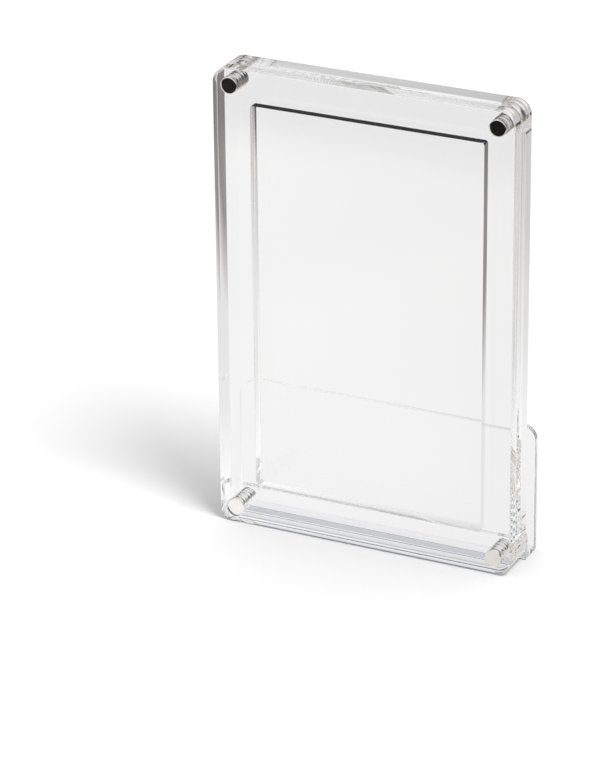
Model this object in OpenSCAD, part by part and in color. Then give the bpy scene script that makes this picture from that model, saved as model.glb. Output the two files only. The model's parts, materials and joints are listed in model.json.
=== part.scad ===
// Clear display case for one graded trading card.
// A flat cover closes a tray with a card pocket, and stacks of disc magnets in the four
// corners hold the two together. A clear stand clings to the two lower stacks from behind.
// X runs across the case, the cover faces -Y and +Z is up. The case rests on Z = 0.

/* [Case] */
// Width of the case
case_w = 105; // [100:1:125]
// Height of the case
case_h = 162; // [155:1:190]
// Radius of the case's four corners
case_corner_r = 5; // [3:0.5:8]
// Thickness of the cover
cover_t = 5; // [4:0.5:8]
// Thickness of the tray
tray_t = 9; // [8.5:0.5:14]

/* [Card pocket] */
// Width of the pocket
pocket_w = 82; // [64:0.5:86]
// Height of the pocket
pocket_h = 136.5; // [90:0.5:141]
// Depth of the pocket in the tray
pocket_depth = 5.2; // [2:0.1:6]
// Radius of the pocket's four corners, left by the cutter
pocket_corner_r = 1; // [0.5:0.25:3]

/* [Magnets] */
// Diameter of every disc magnet
magnet_d = 6; // [4:0.5:8]
// Distance from the case's edges to the middle of each magnet stack
magnet_inset = 5.8; // [5.3:0.1:7]
// How far the cover's stacks stand out of it, to find the tray's bores
locator_h = 1; // [0.4:0.1:2]
// Thickness of the rearmost disc of each tray stack
rear_disc_t = 2; // [1:0.5:3]
// Edge break on the rims of the discs
magnet_chamfer = 0.2; // [0.1:0.05:0.4]
// Radial clearance between a disc and its bore
magnet_play = 0.05; // [0.02:0.01:0.1]

/* [Stand] */
// Height of the stand's back plate
stand_h = 45; // [25:1:80]
// Height of the stand's front wall above the bores for its magnets
stand_wall_rim = 1.2; // [0.8:0.1:10]
// Depth of the stand from the tray's back to its own back
stand_depth = 9.3; // [7:0.1:40]
// Thickness of the stand's plates
stand_t = 2; // [1.5:0.5:3]
// Radius of the upper corners of the stand's back plate
stand_corner_r = 5; // [2:0.5:10]
// Radius of the upper corners of the stand's front wall
stand_wall_corner_r = 3; // [1:0.5:4]

/* [Hidden] */
$fn = 96;

// Planes from front to back. The whole depth lies centred on Y = 0.
total_depth = cover_t + tray_t + stand_depth;
front_y = -total_depth / 2;
seam_y = front_y + cover_t;
back_y = seam_y + tray_t;
stand_gap_y = back_y + stand_t;
stand_back_y = back_y + stand_depth - stand_t;

// Every stack has its middle at the same distance from the edges
magnet_x = case_w / 2 - magnet_inset;
low_z = magnet_inset;
high_z = case_h - magnet_inset;
bore_d = magnet_d + 2 * magnet_play;

// The front wall is only as high as its magnets ask for, so that it stays below the card
stand_wall_h = low_z + bore_d / 2 + stand_wall_rim;

// The cover's stack is two equal discs, the tray's two equal ones and a thinner one
cover_disc_t = (cover_t + locator_h) / 2;
tray_disc_t = (tray_t - locator_h - rear_disc_t) / 2;
tray_stack_y = seam_y + locator_h;
rear_disc_y = back_y - rear_disc_t;

// Cuts run past the face that they open through by this much
cut_over = 1;

// Rectangle centred on X = 0 from Z = 0 up, with the radii given for its ends
module rounded_rectangle(w, h, low_r, high_r) {
    difference() {
        translate([-w / 2, 0]) square([w, h]);
        for (side = [-1, 1]) {
            if (low_r > 0) corner_waste(side * w / 2, 0, side, 1, low_r);
            if (high_r > 0) corner_waste(side * w / 2, h, side, -1, high_r);
        }
    }
}

// What a round corner takes off a square one
module corner_waste(x, z, side, up, r) {
    difference() {
        translate([x - (side + 1) * r / 2, z - (1 - up) * r / 2]) square([r, r]);
        translate([x - side * r, z + up * r]) circle(r);
    }
}

// Flat sheet of thickness t with its front face at y
module sheet(y, t) {
    translate([0, y + t, 0]) rotate([90, 0, 0]) linear_extrude(height = t) children();
}

// Round hole or solid along Y, from y over a length
module round_bar(x, y, z, d, length) {
    translate([x, y, z]) rotate([-90, 0, 0]) cylinder(d = d, h = length);
}

// Disc magnet with its front face at y, and its rims chamfered
module disc(x, y, z, t) {
    r = magnet_d / 2;
    c = magnet_chamfer;
    color("silver") translate([x, y, z]) rotate([-90, 0, 0]) rotate_extrude()
        polygon([[0, 0], [r - c, 0], [r, c], [r, t - c], [r - c, t], [0, t]]);
}

// The four bores of a plate of the case, right through it
module corner_bores(y, length) {
    for (x = [-magnet_x, magnet_x], z = [low_z, high_z]) round_bar(x, y, z, bore_d, length);
}

module front_cover() {
    color("gainsboro") difference() {
        sheet(front_y, cover_t) rounded_rectangle(case_w, case_h, case_corner_r, case_corner_r);
        corner_bores(front_y - cut_over, cover_t + 2 * cut_over);
    }
}

module rear_tray() {
    color("gainsboro") difference() {
        sheet(seam_y, tray_t) rounded_rectangle(case_w, case_h, case_corner_r, case_corner_r);
        corner_bores(seam_y - cut_over, tray_t + 2 * cut_over);
        card_pocket();
    }
}

// The pocket is centred on the case and opens towards the cover
module card_pocket() {
    translate([0, 0, (case_h - pocket_h) / 2]) sheet(seam_y - cut_over, pocket_depth + cut_over)
        rounded_rectangle(pocket_w, pocket_h, pocket_corner_r, pocket_corner_r);
}

// Cover stack: the outer disc is flush with the cover's face, the inner one stands proud
module cover_outer_disc(x, z) { disc(x, front_y, z, cover_disc_t); }
module cover_inner_disc(x, z) { disc(x, front_y + cover_disc_t, z, cover_disc_t); }

// Tray stack: it starts below the seam to take the locator and ends flush with the back
module tray_front_disc(x, z) { disc(x, tray_stack_y, z, tray_disc_t); }
module tray_middle_disc(x, z) { disc(x, tray_stack_y + tray_disc_t, z, tray_disc_t); }
module tray_rear_disc(x, z) { disc(x, rear_disc_y, z, rear_disc_t); }

module stand_front_wall() {
    color("gainsboro") difference() {
        sheet(back_y, stand_t)
            rounded_rectangle(case_w, stand_wall_h, 0, stand_wall_corner_r);
        for (x = [-magnet_x, magnet_x])
            round_bar(x, back_y - cut_over, low_z, bore_d, stand_t + 2 * cut_over);
    }
}

// The base is bonded between the two upright plates
module stand_base() {
    color("gainsboro") translate([-case_w / 2, stand_gap_y, 0])
        cube([case_w, stand_back_y - stand_gap_y, stand_t]);
}

module stand_back_plate() {
    color("gainsboro") sheet(stand_back_y, stand_t)
        rounded_rectangle(case_w, stand_h, 0, stand_corner_r);
}

module stand_disc(x) { disc(x, back_y, low_z, stand_t); }

front_cover();
rear_tray();
cover_outer_disc(-magnet_x, low_z);  // cover_magnet_lower_left_outer
cover_inner_disc(-magnet_x, low_z);  // cover_magnet_lower_left_inner
cover_outer_disc(magnet_x, low_z);  // cover_magnet_lower_right_outer
cover_inner_disc(magnet_x, low_z);  // cover_magnet_lower_right_inner
cover_outer_disc(-magnet_x, high_z);  // cover_magnet_upper_left_outer
cover_inner_disc(-magnet_x, high_z);  // cover_magnet_upper_left_inner
cover_outer_disc(magnet_x, high_z);  // cover_magnet_upper_right_outer
cover_inner_disc(magnet_x, high_z);  // cover_magnet_upper_right_inner
tray_front_disc(-magnet_x, low_z);  // tray_magnet_lower_left_front
tray_middle_disc(-magnet_x, low_z);  // tray_magnet_lower_left_middle
tray_rear_disc(-magnet_x, low_z);  // tray_magnet_lower_left_rear
tray_front_disc(magnet_x, low_z);  // tray_magnet_lower_right_front
tray_middle_disc(magnet_x, low_z);  // tray_magnet_lower_right_middle
tray_rear_disc(magnet_x, low_z);  // tray_magnet_lower_right_rear
tray_front_disc(-magnet_x, high_z);  // tray_magnet_upper_left_front
tray_middle_disc(-magnet_x, high_z);  // tray_magnet_upper_left_middle
tray_rear_disc(-magnet_x, high_z);  // tray_magnet_upper_left_rear
tray_front_disc(magnet_x, high_z);  // tray_magnet_upper_right_front
tray_middle_disc(magnet_x, high_z);  // tray_magnet_upper_right_middle
tray_rear_disc(magnet_x, high_z);  // tray_magnet_upper_right_rear
stand_front_wall();
stand_base();
stand_back_plate();
stand_disc(-magnet_x);  // stand_magnet_left
stand_disc(magnet_x);  // stand_magnet_right
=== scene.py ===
"""Looks of the clear card display case: polished acrylic, nickel discs, floor and light.

Every piece is in metres in the frame's own axes: X across the case, the cover faces -Y, +Z up.
"""
import json
import math

import bpy
import numpy as np
from mathutils import Matrix, Vector
from mathutils.geometry import delaunay_2d_cdt


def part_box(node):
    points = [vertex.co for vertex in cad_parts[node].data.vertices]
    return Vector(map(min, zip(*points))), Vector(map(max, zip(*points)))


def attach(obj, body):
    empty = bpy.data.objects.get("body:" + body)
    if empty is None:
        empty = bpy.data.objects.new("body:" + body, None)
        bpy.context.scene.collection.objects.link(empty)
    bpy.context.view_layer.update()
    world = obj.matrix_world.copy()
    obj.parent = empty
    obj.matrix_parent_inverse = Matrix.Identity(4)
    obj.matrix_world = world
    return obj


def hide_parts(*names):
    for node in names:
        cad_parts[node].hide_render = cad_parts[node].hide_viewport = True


MM = 0.001

# The card pocket, centred on the case
POCKET_W = 82 * MM
POCKET_H = 136.5 * MM
POCKET_DEPTH = 5.2 * MM
POCKET_R = 1 * MM
# Corners of the case's plates, of the stand's back plate and of its front wall
CASE_R = 5 * MM
STAND_R = 5 * MM
STAND_WALL_R = 3 * MM
# Edge break that polishing leaves on the rims of the case and, finer, on the stand's
CASE_BREAK = 0.15 * MM
STAND_BREAK = 0.06 * MM
# Fillet that the cutter leaves round the pocket's floor
POCKET_FILLET = 0.3 * MM
# Air film between plates that only lie against each other
FILM = 0.02 * MM
# Glued pieces are drawn into each other by this much, which leaves no air between them
GLUE_OVERLAP = 0.02 * MM
# The tray's bores stay open round the locating discs of the cover
LOCATOR_PLAY = 0.05 * MM
# Rounded rim of a magnet disc
DISC_ROUND = 0.4 * MM

# Steps round a corner, a bore, a rim's quarter round and a disc's
CORNER_STEPS = 28
BORE_STEPS = 96
RIM_STEPS = 3
DISC_STEPS = 4
# Slots of a plate's faces and of its edges, and the one slot of a disc
FACE = 0
EDGE = 1
PLATING = 0
# Side of Y that a flat face looks to
FRONT = -1
REAR = 1
# Points closer than this are one, and faces that meet at a larger angle meet sharply
SAME_POINT = 1e-9
SHARP_ANGLE = math.radians(40)

# Acrylic: its refraction, where a noise makes the polish hazier, and the tint that waves over it
ACRYLIC_IOR = 1.49
HAZE_PATCHES = (0.45, 0.75)
TINT_WAVES = (0.3, 0.7)
TINT = (0.994, 1.0)
FACE_WAVES = (40 * MM, 0.0008 * MM)
FACE_HAZE = 0.001
EDGE_WAVES = (14 * MM, 0.0006 * MM)
EDGE_HAZE = 0.003

# Nickel: two shades in clouds, and rubbing marks that are fine along Z, tilted, and rougher
NICKEL_SHADES = ((0.85, 0.82, 0.78, 1.0), (0.89, 0.865, 0.825, 1.0))
CLOUD_LENGTH = 2.5 * MM
CLOUD_EDGE = (0.35, 0.65)
MARK_LENGTH = 1.2 * MM
MARK_STRETCH = 14.0
MARK_TILT = math.radians(25)
MARK_EDGE = (0.5, 0.75)
MARK_DEPTH = 0.0001 * MM
NICKEL_ROUGHNESS = (0.04, 0.12)

# Half the floor's side, and its level just under the case
FLOOR_HALF = 3.0
FLOOR_Z = -0.05 * MM
# Mirrored floor, which glows with painted light. Each ramp is given as where it starts and ends,
# and its tones there. Places are in metres, to the right of the case's middle and behind its front
PAINTED_LIGHT_POOL_X = -0.06
BEHIND_PAINTED_LIGHT_POOL = ((0.02, 0.10), (1.05, 0.80))
BEHIND_FAR_RIGHT = ((0.20, 0.32), (1.0, 0.3))
FRONT_SLANT = 0.86
FRONT_RIGHT = ((0.03, 0.18), (0.98, 0.5))
STRIP_ACROSS = (0.915, 0.404)
STRIP_LEFT = ((-0.20, -0.15), (0.85, 1.0))
FRONT_FAR_LEFT = ((-0.3, -0.2), (0.8, 1.0))
# Painted dark where mirrors see the floor far in front of the case
PAINTED_DARK_FAR_FRONT = ((-0.34, -0.30), (0.03, 1.0))
FRONT_TO_BEHIND = (-0.055, 0.0)
# Floor seen straight or through clear plates, with painted shade by its distance from the case's
# front
SEEN_THROUGH_PAINTED_SHADE = ((0.0, 0.33), (0.885, 0.945))
# Mirrored room: dark low down behind, bright above, and brighter towards the front right
ROOM_BEHIND = ((0.4, 0.85), (0.75, 0.02))
ROOM_RISE = (0.34, 0.49)
ROOM_HIGH = 0.95
ROOM_RIGHT_GAIN = 0.35
# Part of X and of -Y in the direction to the front right
DIAGONAL = 0.7
# Colours of the floor's painted light and of the room where they are light and where they are dark
WHITE = (1.0, 1.0, 1.0, 1.0)
PAINTED_SHADE_TINT = (1.0, 0.94, 0.90, 1.0)
DARK_ROOM = (0.78, 0.86, 1.0, 1.0)
# Bounces are whole numbers, so this parts none from one
NO_BOUNCE = 0.5
# Light that the room gives the floor, and the lamp's place, width in metres and power in watts
ROOM_FILL = 0.65
LAMP_PLACE = (1.51, -0.74, 2.69)
LAMP_WIDTH = 1.3
LAMP_POWER = 54.4
# Light runs down inside the thin plates by total reflection, so it needs many bounces
LIGHT_BOUNCES = 96


def arc(cx, cz, r, a0, a1, steps):
    """Points c + r (cos a, sin a) with a running evenly from a0 to a1 degrees."""
    a = np.radians(np.linspace(a0, a1, steps + 1))
    return np.column_stack([cx + r * np.cos(a), cz + r * np.sin(a)])


def rounded_rectangle(w, h, z0, low_r, high_r, inset=0.0):
    """Outline of a rectangle centred on X = 0 from z0 up, counterclockwise seen from the front.

    low_r and high_r round the lower and upper corners. inset moves every side in and takes as
    much off the radii, so that outlines with other insets have matching points.
    """
    corners = ((1, 0, low_r, -90), (1, 1, high_r, 0), (-1, 1, high_r, 90), (-1, 0, low_r, 180))
    points = []
    for side, up, r, start in corners:
        r_in = max(r - inset, 0.0)
        shift = inset + r_in
        cx = side * (w / 2 - shift)
        cz = z0 + (h - shift if up else shift)
        points.append(arc(cx, cz, r_in, start, start + 90, CORNER_STEPS if r > 0 else 1))
    outline = np.vstack(points)
    step = np.linalg.norm(outline - np.roll(outline, 1, axis=0), axis=1)
    return outline[step > SAME_POINT]


def circle(x, z, r, inset=0.0):
    """Outline of a circle, its radius less the inset."""
    return arc(x, z, r - inset, 0, 360, BORE_STEPS)[:-1]


def quarter_round(r, steps):
    """(inset, depth) from a face's rim to its side: r (1 - cos t, 1 - sin t), t from 90 to 0."""
    t = np.radians(np.linspace(90, 0, steps + 1))
    return np.column_stack([r * (1 - np.cos(t)), r * (1 - np.sin(t))])


def side_profile(y0, y1, r, steps):
    """(inset, y) from the front rim to the rear one: a quarter round, a straight side, a round."""
    if r == 0:
        return np.array([[0.0, y0], [0.0, y1]])
    front = quarter_round(r, steps)
    rear = front[::-1]
    return np.vstack([front + [0, y0], rear * [1, -1] + [0, y1]])


class Shell:
    """Collects the rings, walls and caps of one closed solid."""

    def __init__(self):
        self.points = []
        self.faces = []
        self.smooth = []
        self.slots = []
        self.count = 0

    def ring(self, outline, y):
        """Adds an outline at depth y and returns the numbers of its points."""
        block = np.column_stack([outline[:, 0], np.full(len(outline), y), outline[:, 1]])
        self.points.append(block)
        first = self.count
        self.count += len(block)
        return np.arange(first, self.count)

    def wall(self, rings, slot, inward=False):
        """Quads between following rings, facing away from the outline's middle or towards it."""
        for a, b in zip(rings[:-1], rings[1:]):
            a2 = np.roll(a, -1)
            b2 = np.roll(b, -1)
            quads = np.column_stack([a, a2, b2, b] if inward else [a, b, b2, a2])
            self.faces += quads.tolist()
            self.smooth += [True] * len(quads)
            self.slots += [slot] * len(quads)

    def cap(self, outer, holes, towards, slot):
        """Flat face inside the outer ring and outside the hole rings, towards FRONT or REAR."""
        table = np.vstack(self.points)
        loops = [outer] + list(holes)
        index = np.concatenate(loops)
        flat = [Vector((p[0], p[2])) for p in table[index]]
        edges = []
        start = 0
        for loop in loops:
            n = len(loop)
            edges += [(start + i, start + (i + 1) % n) for i in range(n)]
            start += n
        _, _, triangles, origin, _, _ = delaunay_2d_cdt(flat, edges, [], 1, SAME_POINT)
        for t in triangles:
            ids = [int(index[origin[i][0]]) for i in t]
            middle = table[ids].mean(0)
            if any(inside(table[h], middle) for h in holes):
                continue
            p, q, r = (table[i] for i in ids)
            normal_y = (q[2] - p[2]) * (r[0] - p[0]) - (q[0] - p[0]) * (r[2] - p[2])
            self.faces.append(ids if normal_y * towards > 0 else ids[::-1])
            self.smooth.append(False)
            self.slots.append(slot)

    def build(self, name, materials):
        """Makes the mesh and its object, with sharp edges where faces meet at a large angle."""
        mesh = bpy.data.meshes.new(name)
        mesh.from_pydata(np.vstack(self.points).tolist(), [], self.faces)
        mesh.polygons.foreach_set("material_index", self.slots)
        for material in materials:
            mesh.materials.append(material)
        mesh.set_sharp_from_angle(angle=SHARP_ANGLE)
        # The caps stay flat up to their rims. The line above has made every face smooth
        mesh.polygons.foreach_set("use_smooth", self.smooth)
        piece = bpy.data.objects.new(name, mesh)
        bpy.context.scene.collection.objects.link(piece)
        return piece


def inside(loop, point):
    """True where the point lies inside a convex loop, told by the side of every edge."""
    a = loop[:, [0, 2]]
    b = np.roll(a, -1, axis=0)
    side = (b[:, 0] - a[:, 0]) * (point[2] - a[:, 1]) - (b[:, 1] - a[:, 1]) * (point[0] - a[:, 0])
    return bool(np.all(side > 0) or np.all(side < 0))


def bore_rings(shell, bore, y0, y1, open_y):
    """Rings of a bore (x, z, r) from y0 to y1. Down to open_y it is wider by the glue and play."""
    x, z, r = bore
    if open_y is None:
        return [shell.ring(circle(x, z, r), y) for y in (y0, y1)]
    wide = circle(x, z, r + GLUE_OVERLAP + LOCATOR_PLAY)
    rings = [shell.ring(wide, y) for y in (y0, open_y)]
    return rings + [shell.ring(circle(x, z, r), y) for y in (open_y, y1)]


def pocket_rings(shell, pocket, y0):
    """Rings of a pocket from its mouth at y0 to its floor, with a fillet round the floor."""
    floor_y = y0 + POCKET_DEPTH - FILM
    fillet = quarter_round(POCKET_FILLET, RIM_STEPS)[::-1]
    rings = [shell.ring(pocket(0.0), y0)]
    return rings + [shell.ring(pocket(inset), floor_y - up) for inset, up in fillet]


def plate(name, outline, y0, y1, rim, bores=(), pocket=None, open_y=None):
    """A clear plate from y0 to y1: the side profile carried round the outline, bores and a pocket.

    outline(inset) and pocket(inset) give the plate's outline and the pocket's, open towards y0.
    """
    shell = Shell()
    side = [shell.ring(outline(inset), y) for inset, y in side_profile(y0, y1, rim, RIM_STEPS)]
    shell.wall(side, EDGE)
    front_holes = []
    rear_holes = []
    for bore in bores:
        rings = bore_rings(shell, bore, y0, y1, open_y)
        shell.wall(rings, EDGE, inward=True)
        front_holes.append(rings[0])
        rear_holes.append(rings[-1])
    if pocket:
        rings = pocket_rings(shell, pocket, y0)
        shell.wall(rings, FACE, inward=True)
        shell.cap(rings[-1], [], FRONT, FACE)
        front_holes.append(rings[0])
    shell.cap(side[0], front_holes, FRONT, FACE)
    shell.cap(side[-1], rear_holes, REAR, FACE)
    return shell.build(name, [FACE_ACRYLIC, EDGE_ACRYLIC])


def magnet_disc(node):
    """A magnet disc: the side profile of a rounded coin turned about its axis along Y."""
    low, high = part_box(node)
    middle = (low + high) / 2
    r = (high.x - low.x) / 2
    shell = Shell()
    profile = side_profile(low.y, high.y, DISC_ROUND, DISC_STEPS)
    rings = [shell.ring(circle(middle.x, middle.z, r, inset), y) for inset, y in profile]
    shell.wall(rings, PLATING)
    shell.cap(rings[0], [], FRONT, PLATING)
    shell.cap(rings[-1], [], REAR, PLATING)
    return shell.build(node + "_disc", [NICKEL])


def finish_piece(piece, node, body):
    """Hides the CAD node that the piece stands in for and hangs the piece on its body."""
    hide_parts(node)
    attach(piece, body)


def new_material(name):
    """A material with its Principled shader and node tree ready."""
    material = bpy.data.materials.new(name)
    material.use_nodes = True
    tree = material.node_tree
    return material, tree, tree.nodes["Principled BSDF"]


def add_node(tree, kind, **inputs):
    """A node with its inputs set from numbers or linked from sockets, by name or number."""
    node = tree.nodes.new(kind)
    for name, value in inputs.items():
        socket = node.inputs[int(name[1:]) if name.startswith("_") else name.replace("_", " ")]
        if isinstance(value, bpy.types.NodeSocket):
            tree.links.new(value, socket)
        else:
            socket.default_value = value
    return node


def math_node(tree, operation, *values):
    """A Math node on sockets or numbers, and its output."""
    node = add_node(tree, "ShaderNodeMath", **{f"_{i}": v for i, v in enumerate(values)})
    node.operation = operation
    return node.outputs[0]


def product(tree, first, second):
    """The first value times the second."""
    return math_node(tree, "MULTIPLY", first, second)


def total(tree, first, second):
    """The first value plus the second."""
    return math_node(tree, "ADD", first, second)


def ramp(tree, value, span, tones=(0.0, 1.0)):
    """Tone that runs evenly over the two tones while the value runs over the span's ends."""
    node = add_node(tree, "ShaderNodeMapRange", _0=value, _1=span[0], _2=span[1], _3=tones[0],
                    _4=tones[1])
    return node.outputs[0]


def mix_tones(tree, factor, first, second):
    """The first tone where the factor is 0 and the second where it is 1."""
    return add_node(tree, "ShaderNodeMix", Factor=factor, A=first, B=second).outputs["Result"]


def mix_colours(tree, factor, first, second):
    """The first colour where the factor is 0 and the second where it is 1."""
    node = tree.nodes.new("ShaderNodeMix")
    node.data_type = "RGBA"
    tree.links.new(factor, node.inputs["Factor"])
    node.inputs["A"].default_value = first
    node.inputs["B"].default_value = second
    return node.outputs["Result"]


def object_noise(tree, length, detail):
    """A noise on Object coordinates whose waves are about the given length."""
    place = tree.nodes.new("ShaderNodeTexCoord")
    noise = add_node(tree, "ShaderNodeTexNoise", Vector=place.outputs["Object"],
                     Scale=1 / length, Detail=detail)
    return noise.outputs["Fac"]


def clear_acrylic(name, waves, haze):
    """Cast acrylic: clear, faintly waved, with a polish that is a little uneven.

    waves are the length and height of its waves, and haze the roughness of its dullest patches.
    """
    wave_length, wave_height = waves
    material, tree, shader = new_material(name)
    shader.inputs["IOR"].default_value = ACRYLIC_IOR
    shader.inputs["Transmission Weight"].default_value = 1.0
    polish = ramp(tree, object_noise(tree, wave_length / 3, 3), HAZE_PATCHES, (0.0, haze))
    tree.links.new(polish, shader.inputs["Roughness"])
    tone = ramp(tree, object_noise(tree, wave_length, 2), TINT_WAVES, TINT)
    colour = add_node(tree, "ShaderNodeCombineColor", _0=tone, _1=tone, _2=1.0)
    tree.links.new(colour.outputs[0], shader.inputs["Base Color"])
    bump = add_node(tree, "ShaderNodeBump", Strength=1.0, Distance=wave_height,
                    Height=object_noise(tree, wave_length, 1))
    tree.links.new(bump.outputs[0], shader.inputs["Normal"])
    return material


def nickel():
    """Bright nickel plating: warm, with cloudy patches and fine rubbing marks across it."""
    material, tree, shader = new_material("bright nickel")
    shader.inputs["Metallic"].default_value = 1.0
    cloud = object_noise(tree, CLOUD_LENGTH, 2)
    colour = mix_colours(tree, ramp(tree, cloud, CLOUD_EDGE), *NICKEL_SHADES)
    tree.links.new(colour, shader.inputs["Base Color"])
    place = tree.nodes.new("ShaderNodeTexCoord")
    stretch = add_node(tree, "ShaderNodeMapping", Vector=place.outputs["Object"])
    stretch.inputs["Rotation"].default_value = (0.0, MARK_TILT, 0.0)
    stretch.inputs["Scale"].default_value = (1.0, 1.0, MARK_STRETCH)
    marks = add_node(tree, "ShaderNodeTexNoise", Vector=stretch.outputs[0], Scale=1 / MARK_LENGTH,
                     Detail=4.0)
    rubbed = ramp(tree, marks.outputs["Fac"], MARK_EDGE, NICKEL_ROUGHNESS)
    tree.links.new(rubbed, shader.inputs["Roughness"])
    bump = add_node(tree, "ShaderNodeBump", Strength=1.0, Distance=MARK_DEPTH,
                    Height=marks.outputs["Fac"])
    tree.links.new(bump.outputs[0], shader.inputs["Normal"])
    return material


def photo_camera(front_y):
    """The camera that the photograph was taken with, fitted to the case's outline."""
    azimuth, elevation, roll = (math.radians(v) for v in (25.64, 24.73, -0.60))
    across, rise, away = -20.83 * MM, 54.19 * MM, 1344.1 * MM
    focal_px, frame_px, sensor = 4048, 600, 36.0
    back = Vector((math.sin(azimuth) * math.cos(elevation),
                   -math.cos(azimuth) * math.cos(elevation), math.sin(elevation)))
    level = Vector((math.cos(azimuth), math.sin(azimuth), 0.0))
    upright = back.cross(level)
    right = level * math.cos(roll) + upright * math.sin(roll)
    up = upright * math.cos(roll) - level * math.sin(roll)
    place = right * across + up * rise + back * away + Vector((0.0, front_y, 0.0))
    data = bpy.data.cameras.new("photo_camera")
    data.sensor_fit = "HORIZONTAL"
    data.sensor_width = sensor
    data.lens = focal_px / frame_px * sensor
    data.clip_start = 0.01
    camera = bpy.data.objects.new("photo_camera", data)
    bpy.context.scene.collection.objects.link(camera)
    camera.matrix_world = Matrix(((right.x, up.x, back.x, place.x),
                                  (right.y, up.y, back.y, place.y),
                                  (right.z, up.z, back.z, place.z), (0, 0, 0, 1)))
    bpy.context.scene.camera = camera


def case_outline(inset):
    """Outline of the cover and the tray."""
    return rounded_rectangle(case_w, case_h, 0.0, CASE_R, CASE_R, inset)


def pocket_outline(inset):
    """Outline of the card pocket, centred on the case's height."""
    z0 = (case_h - POCKET_H) / 2
    return rounded_rectangle(POCKET_W, POCKET_H, z0, POCKET_R, POCKET_R, inset)


def case_plates(bores):
    """The cover and the tray, with an air film where they only touch."""
    cover = plate("cover_plate", case_outline, cover_low.y, cover_high.y - FILM, CASE_BREAK, bores)
    finish_piece(cover, "front_cover", "cover")
    locator_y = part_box("cover_magnet_lower_left_inner")[1].y
    tray = plate("tray_plate", case_outline, tray_low.y + FILM, tray_high.y - FILM, CASE_BREAK,
                 bores, pocket_outline, locator_y)
    finish_piece(tray, "rear_tray", "tray")


def stand_plates(bores):
    """The stand's wall, back plate and base. The base is glued between the other two."""
    wall_low, wall_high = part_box("stand_front_wall")
    back_low, back_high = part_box("stand_back_plate")
    base_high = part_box("stand_base")[1]

    def wall_outline(inset):
        return rounded_rectangle(case_w, wall_high.z, 0.0, 0.0, STAND_WALL_R, inset)

    def back_outline(inset):
        return rounded_rectangle(case_w, back_high.z, 0.0, 0.0, STAND_R, inset)

    def base_outline(inset):
        return rounded_rectangle(case_w, base_high.z, 0.0, 0.0, 0.0, inset)

    wall = plate("stand_wall_plate", wall_outline, wall_low.y + FILM, wall_high.y, STAND_BREAK,
                 [bore for bore in bores if bore[1] < wall_high.z])
    finish_piece(wall, "stand_front_wall", "stand")
    rear = plate("stand_rear_plate", back_outline, back_low.y, back_high.y, STAND_BREAK)
    finish_piece(rear, "stand_back_plate", "stand")
    base = plate("stand_base_plate", base_outline, wall_high.y - GLUE_OVERLAP,
                 back_low.y + GLUE_OVERLAP, 0.0)
    finish_piece(base, "stand_base", "stand")


def magnet_bores():
    """(x, z, radius) of the bores, drawn a little under the discs that are glued in them."""
    bores = []
    for side in ("left", "right"):
        for level in ("lower", "upper"):
            low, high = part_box(f"cover_magnet_{level}_{side}_outer")
            middle = (low + high) / 2
            bores.append((middle.x, middle.z, (high.x - low.x) / 2 - GLUE_OVERLAP))
    return bores


def magnet_discs():
    """Every magnet disc, on the body that carries its node."""
    for body, nodes in frame["record"]["behaviour"]["bodies"].items():
        for node in nodes:
            if "magnet" in node:
                finish_piece(magnet_disc(node), node, body)


def ray_tests(tree):
    """Three tests that are 1 where they hold: camera rays, light on the floor, straight rays.

    Straight rays reach the floor or the room unmirrored, from the camera or from a lit place,
    if only through clear plates.
    """
    path = tree.nodes.new("ShaderNodeLightPath")
    lighting = math_node(tree, "GREATER_THAN", path.outputs["Diffuse Depth"], NO_BOUNCE)
    straight = math_node(tree, "LESS_THAN", path.outputs["Glossy Depth"], NO_BOUNCE)
    return path.outputs["Is Camera Ray"], lighting, straight


def mirrored_floor_painted_light(tree, x, y):
    """How light the floor is where the acrylic and the discs mirror it, x and y in metres.

    Behind the case a painted pool of light is brightest round a spot at its left, by the distance
    from there, and dims to the far right, by x + y. In front the painted light dims to the right
    along a slanted line and a little to the left of a strip, and ends in painted dark far in
    front.
    """
    across = total(tree, x, -PAINTED_LIGHT_POOL_X)
    squares = total(tree, product(tree, across, across), product(tree, y, y))
    # Painted pool of light round the spot behind the case
    behind = ramp(tree, math_node(tree, "SQRT", squares), *BEHIND_PAINTED_LIGHT_POOL)
    behind = product(tree, behind, ramp(tree, total(tree, x, y), *BEHIND_FAR_RIGHT))
    slant = math_node(tree, "SUBTRACT", x, product(tree, y, FRONT_SLANT))
    strip = total(tree, product(tree, x, STRIP_ACROSS[0]), product(tree, y, STRIP_ACROSS[1]))
    front = ramp(tree, slant, *FRONT_RIGHT)
    front = product(tree, front, ramp(tree, strip, *STRIP_LEFT))
    front = product(tree, front, ramp(tree, x, *FRONT_FAR_LEFT))
    # Painted dark far in front of the case
    front = product(tree, front, ramp(tree, y, *PAINTED_DARK_FAR_FRONT))
    return mix_tones(tree, ramp(tree, y, FRONT_TO_BEHIND), front, behind)


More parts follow.
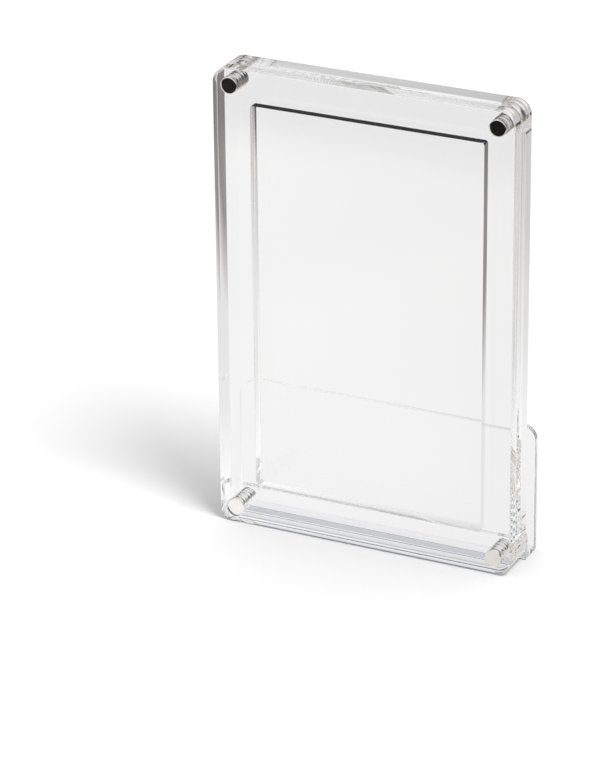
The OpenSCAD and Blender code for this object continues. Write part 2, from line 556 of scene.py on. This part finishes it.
def studio_floor():
    """White paper floor that keeps the lamp's shadow. Mirrored or seen through the plates, it
    glows with painted light and painted shade instead.
    """
    mesh = bpy.data.meshes.new("studio_floor")
    corners = [(x * FLOOR_HALF, y * FLOOR_HALF, FLOOR_Z)
               for x, y in ((-1, -1), (1, -1), (1, 1), (-1, 1))]
    mesh.from_pydata(corners, [], [(0, 1, 2, 3)])
    floor = bpy.data.objects.new("studio_floor", mesh)
    bpy.context.scene.collection.objects.link(floor)
    material = bpy.data.materials.new("studio floor")
    material.use_nodes = True
    material.cycles.emission_sampling = "NONE"
    tree = material.node_tree
    tree.nodes.clear()
    place = tree.nodes.new("ShaderNodeTexCoord")
    axes = add_node(tree, "ShaderNodeSeparateXYZ", _0=place.outputs["Object"])
    x = axes.outputs[0]
    y = math_node(tree, "SUBTRACT", axes.outputs[1], cover_low.y)
    camera_ray, lighting, straight = ray_tests(tree)
    # Painted shade of the case on the floor seen through the plates, darker near the case
    seen_through_painted_shade = ramp(tree, math_node(tree, "ABSOLUTE", y), *SEEN_THROUGH_PAINTED_SHADE)
    tone = mix_tones(tree, straight, mirrored_floor_painted_light(tree, x, y), seen_through_painted_shade)
    # The floor's painted light and shade take a warm tint where they are dark
    colour = mix_colours(tree, tone, PAINTED_SHADE_TINT, WHITE)
    # Away from the camera and the lamp's light, the floor glows with this painted light instead of
    # being lit
    glow = add_node(tree, "ShaderNodeEmission", Color=colour, Strength=tone)
    paper = add_node(tree, "ShaderNodeBsdfDiffuse", Color=WHITE)
    lit = math_node(tree, "MAXIMUM", camera_ray, lighting)
    surface = add_node(tree, "ShaderNodeMixShader", _0=lit, _1=glow.outputs[0],
                       _2=paper.outputs[0])
    add_node(tree, "ShaderNodeOutputMaterial", Surface=surface.outputs[0])
    mesh.materials.append(material)


def mirrored_room_tone(tree, direction):
    """How light the room is where it is mirrored, by the direction that a ray leaves in.

    Low down it dims towards the back. High up it brightens towards the front right.
    """
    axes = add_node(tree, "ShaderNodeSeparateXYZ", _0=direction)
    x, y, z = axes.outputs[0], axes.outputs[1], axes.outputs[2]
    front_right = product(tree, math_node(tree, "SUBTRACT", x, y), DIAGONAL)
    high = total(tree, product(tree, front_right, ROOM_RIGHT_GAIN), ROOM_HIGH)
    return mix_tones(tree, ramp(tree, z, ROOM_RISE), ramp(tree, y, *ROOM_BEHIND), high)


def studio_world():
    """White room that also fills the floor with light. Mirrored, it has its own tones."""
    world = bpy.data.worlds.new("studio")
    bpy.context.scene.world = world
    world.use_nodes = True
    tree = world.node_tree
    direction = tree.nodes.new("ShaderNodeTexCoord")
    _, lighting, straight = ray_tests(tree)
    mirrored = mirrored_room_tone(tree, direction.outputs["Generated"])
    tone = mix_tones(tree, lighting, mix_tones(tree, straight, mirrored, 1.0), ROOM_FILL)
    white = math_node(tree, "MAXIMUM", math_node(tree, "MAXIMUM", straight, lighting), mirrored)
    colour = mix_colours(tree, white, DARK_ROOM, WHITE)
    tree.links.new(colour, tree.nodes["Background"].inputs["Color"])
    tree.links.new(tone, tree.nodes["Background"].inputs["Strength"])


def soft_lamp():
    """Large soft lamp, high on the right, whose shadow falls to the left of the case."""
    data = bpy.data.lights.new("soft_lamp", "AREA")
    data.shape = "DISK"
    data.size = LAMP_WIDTH
    data.energy = LAMP_POWER
    lamp = bpy.data.objects.new("soft_lamp", data)
    bpy.context.scene.collection.objects.link(lamp)
    place = Vector(LAMP_PLACE)
    turn = place.to_track_quat("Z", "Y").to_matrix().to_4x4()
    lamp.matrix_world = Matrix.Translation(place) @ turn
    lamp.visible_glossy = False
    lamp.visible_transmission = False


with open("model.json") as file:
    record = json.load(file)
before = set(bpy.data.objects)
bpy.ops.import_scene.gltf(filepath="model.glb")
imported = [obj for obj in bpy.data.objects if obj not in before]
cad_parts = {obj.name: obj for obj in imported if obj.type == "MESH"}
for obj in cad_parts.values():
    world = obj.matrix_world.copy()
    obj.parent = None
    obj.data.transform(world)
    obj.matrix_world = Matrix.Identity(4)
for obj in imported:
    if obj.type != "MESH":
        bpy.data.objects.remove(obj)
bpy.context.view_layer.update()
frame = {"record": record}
cover_low, cover_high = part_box("front_cover")
tray_low, tray_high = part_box("rear_tray")
case_w = cover_high.x - cover_low.x
case_h = cover_high.z - cover_low.z
photo_camera(cover_low.y)

FACE_ACRYLIC = clear_acrylic("polished acrylic face", FACE_WAVES, FACE_HAZE)
EDGE_ACRYLIC = clear_acrylic("polished acrylic edge", EDGE_WAVES, EDGE_HAZE)
NICKEL = nickel()

case_plates(magnet_bores())
stand_plates(magnet_bores())
magnet_discs()

studio_floor()
studio_world()
soft_lamp()

scene = bpy.context.scene
scene.view_settings.view_transform = "Standard"
scene.cycles.max_bounces = LIGHT_BOUNCES
scene.cycles.transmission_bounces = LIGHT_BOUNCES
scene.cycles.glossy_bounces = LIGHT_BOUNCES
